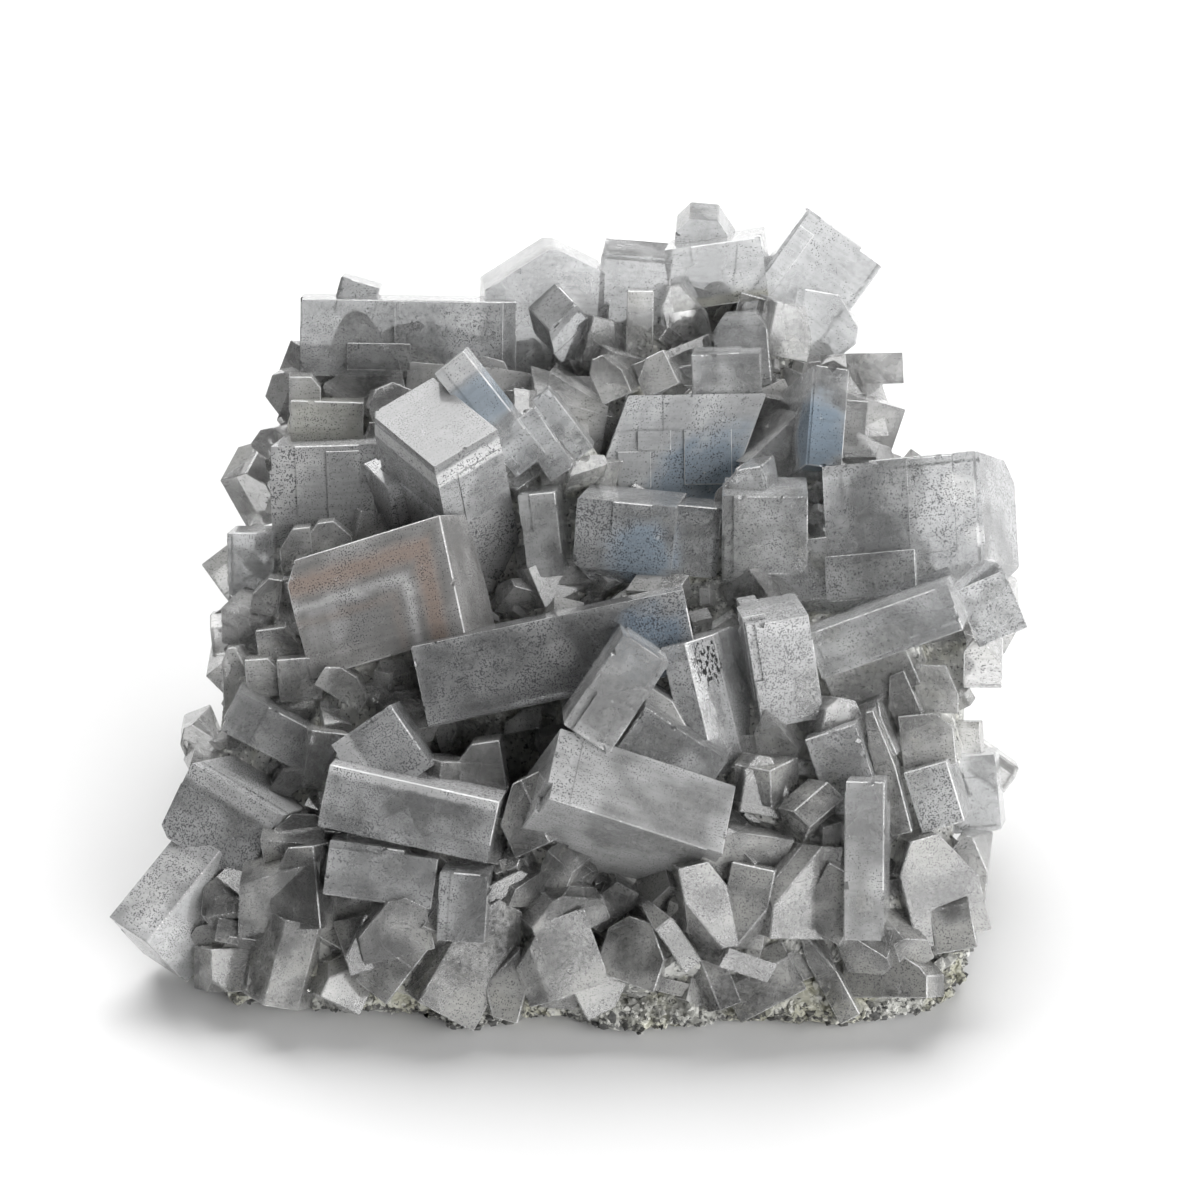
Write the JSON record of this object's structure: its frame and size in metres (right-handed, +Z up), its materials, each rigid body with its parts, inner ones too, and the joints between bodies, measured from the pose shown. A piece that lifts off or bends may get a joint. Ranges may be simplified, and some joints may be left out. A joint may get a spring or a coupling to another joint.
{
  "type": "barite specimen",
  "caption": "Cluster of blocky, see-through gray barite crystals grown together on a rough wedge of rock, resting on its flat underside.",
  "frame": {"origin": "centre of the overall box, at the height of the flat rest face", "axes": "+Z up, +Y from the low front of the wedge to its tall back, +X to the right seen from the front"},
  "size_m": [0.0954, 0.0932, 0.0545],
  "materials": {
    "crystal_gray": "clear to cloudy gray, glassy",
    "crystal_blue": "clear to cloudy blue-gray, glassy",
    "crystal_brown": "cloudy gray with brown growth bands",
    "crystal_olive": "cloudy, faintly olive",
    "crystal_pale": "pale and clear, glassy",
    "matrix": "rough broken rock"
  },
  "bodies": {
    "root": {"crystal_back_centre": "crystal_gray", "crystal_back_leaning": "crystal_gray", "crystal_back_top": "crystal_gray", "crystal_mid_top": "crystal_gray", "crystal_back_left": "crystal_gray", "crystal_olive_block": "crystal_olive", "crystal_banded": "crystal_gray", "crystal_right_upright": "crystal_gray", "crystal_rhombic": "crystal_blue", "crystal_tall_post": "crystal_gray", "crystal_left_cube": "crystal_gray", "crystal_left_outer": "crystal_gray", "crystal_blue_tip": "crystal_blue", "crystal_blue_block": "crystal_blue", "crystal_slim": "crystal_gray", "crystal_right_stepped": "crystal_gray", "crystal_right_bar": "crystal_gray", "crystal_brown_plate": "crystal_brown", "crystal_long_prism": "crystal_gray", "crystal_spotted_post": "crystal_gray", "crystal_bright_post": "crystal_gray", "crystal_striated": "crystal_pale", "crystal_mid_slab": "crystal_gray", "crystal_hollow_plate": "crystal_gray", "crystal_left_bar": "crystal_gray", "crystal_left_plate": "crystal_gray", "crystal_corner_blade": "crystal_gray", "crystal_front_bar": "crystal_gray", "crystal_front_block": "crystal_gray", "crystal_front_chisel": "crystal_pale", "crystal_right_block": "crystal_gray", "crystal_thin_bar": "crystal_pale", "crystal_right_small": "crystal_gray", "crystal_right_pale": "crystal_gray", "crystal_rear_block": "crystal_gray", "crystal_rear_slab": "crystal_gray", "crystal_rear_post": "crystal_gray", "matrix": "matrix"}
  },
  "joints": []
}
